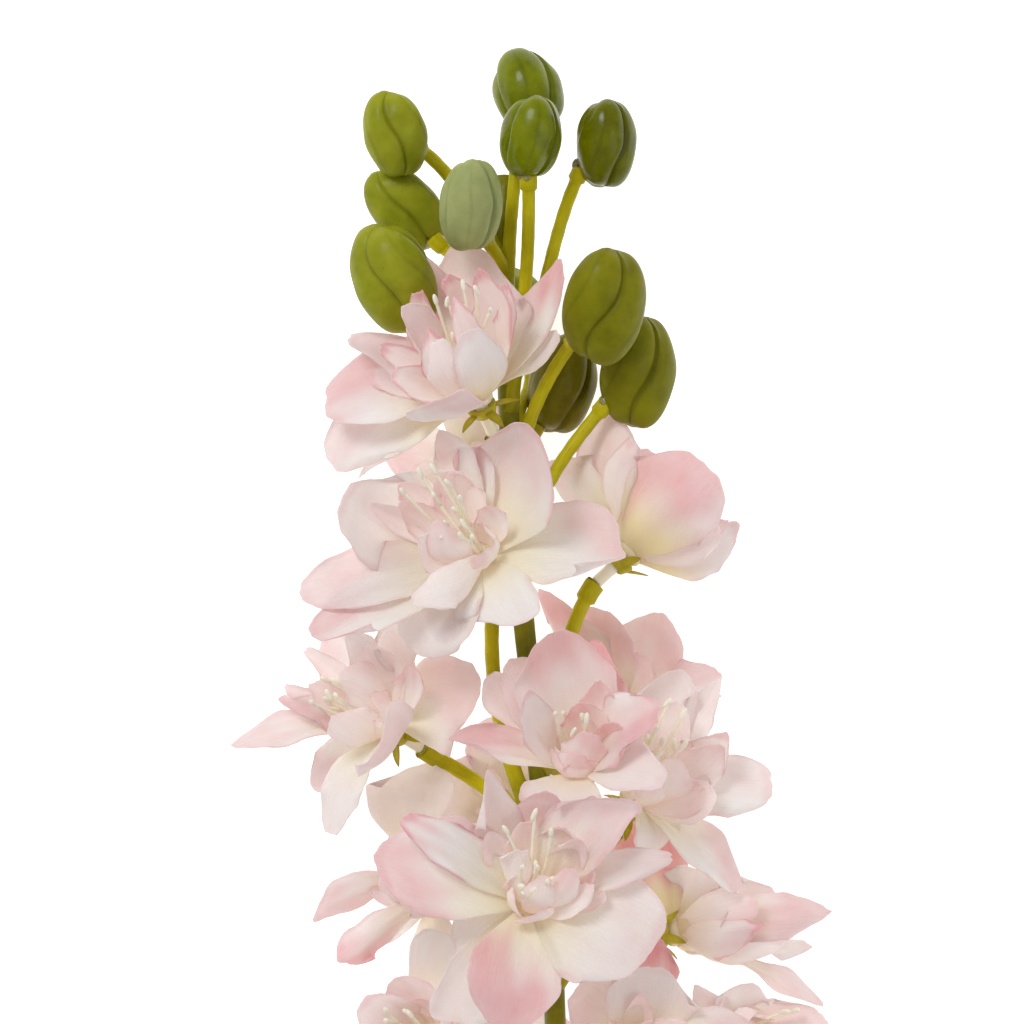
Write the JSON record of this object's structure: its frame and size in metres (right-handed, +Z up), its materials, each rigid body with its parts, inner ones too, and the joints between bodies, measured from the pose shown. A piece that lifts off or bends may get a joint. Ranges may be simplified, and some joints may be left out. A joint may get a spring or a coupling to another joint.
{
  "type": "artificial delphinium stem",
  "caption": "Cut artificial delphinium stem lying on its side, with double pink-and-cream fabric blooms below green moulded buds on side stalks",
  "frame": {"origin": "on the surface, under the middle of the stem's bounding box", "axes": "+Z up from the surface, +Y along the stem from its cut foot to the buds, +X to the right as seen from above with the buds away"},
  "size_m": [0.1396, 0.4128, 0.0912],
  "materials": {
    "stem": "satin moulded plastic, olive to dark green",
    "bud": "satin moulded plastic, olive green",
    "bud_pale": "satin moulded plastic, grey green",
    "petals": "thin satin-weave fabric, cream shading to pink at the edges",
    "calyx": "satin moulded plastic, yellow green",
    "stamens": "satin moulded plastic, cream white"
  },
  "bodies": {
    "root": {"stem": "stem", "bud_top": "bud", "bud_front": "bud", "bud_right": "bud", "bud_left_top": "bud", "bud_left": "bud", "bud_left_low": "bud", "bud_pale": "bud_pale", "bud_high_right": "bud", "bud_low_right": "bud", "bud_under": "bud", "bud_back": "bud", "crown_petals": "petals", "crown_calyx": "calyx", "crown_stamens": "stamens", "left_high_petals": "petals", "left_high_calyx": "calyx", "left_high_stamens": "stamens", "right_high_petals": "petals", "right_high_calyx": "calyx", "right_high_stamens": "stamens", "left_mid_petals": "petals", "left_mid_calyx": "calyx", "left_mid_stamens": "stamens", "front_mid_petals": "petals", "front_mid_calyx": "calyx", "front_mid_stamens": "stamens", "right_mid_petals": "petals", "right_mid_calyx": "calyx", "right_mid_stamens": "stamens", "front_low_petals": "petals", "front_low_calyx": "calyx", "front_low_stamens": "stamens", "left_low_petals": "petals", "left_low_calyx": "calyx", "left_low_stamens": "stamens", "right_low_petals": "petals", "right_low_calyx": "calyx", "right_low_stamens": "stamens", "left_foot_petals": "petals", "left_foot_calyx": "calyx", "left_foot_stamens": "stamens", "front_foot_petals": "petals", "front_foot_calyx": "calyx", "front_foot_stamens": "stamens", "right_foot_petals": "petals", "right_foot_calyx": "calyx", "right_foot_stamens": "stamens", "back_high_petals": "petals", "back_high_calyx": "calyx", "back_high_stamens": "stamens", "back_right_petals": "petals", "back_right_calyx": "calyx", "back_right_stamens": "stamens", "back_mid_petals": "petals", "back_mid_calyx": "calyx", "back_mid_stamens": "stamens", "back_foot_petals": "petals", "back_foot_calyx": "calyx", "back_foot_stamens": "stamens"}
  },
  "joints": []
}
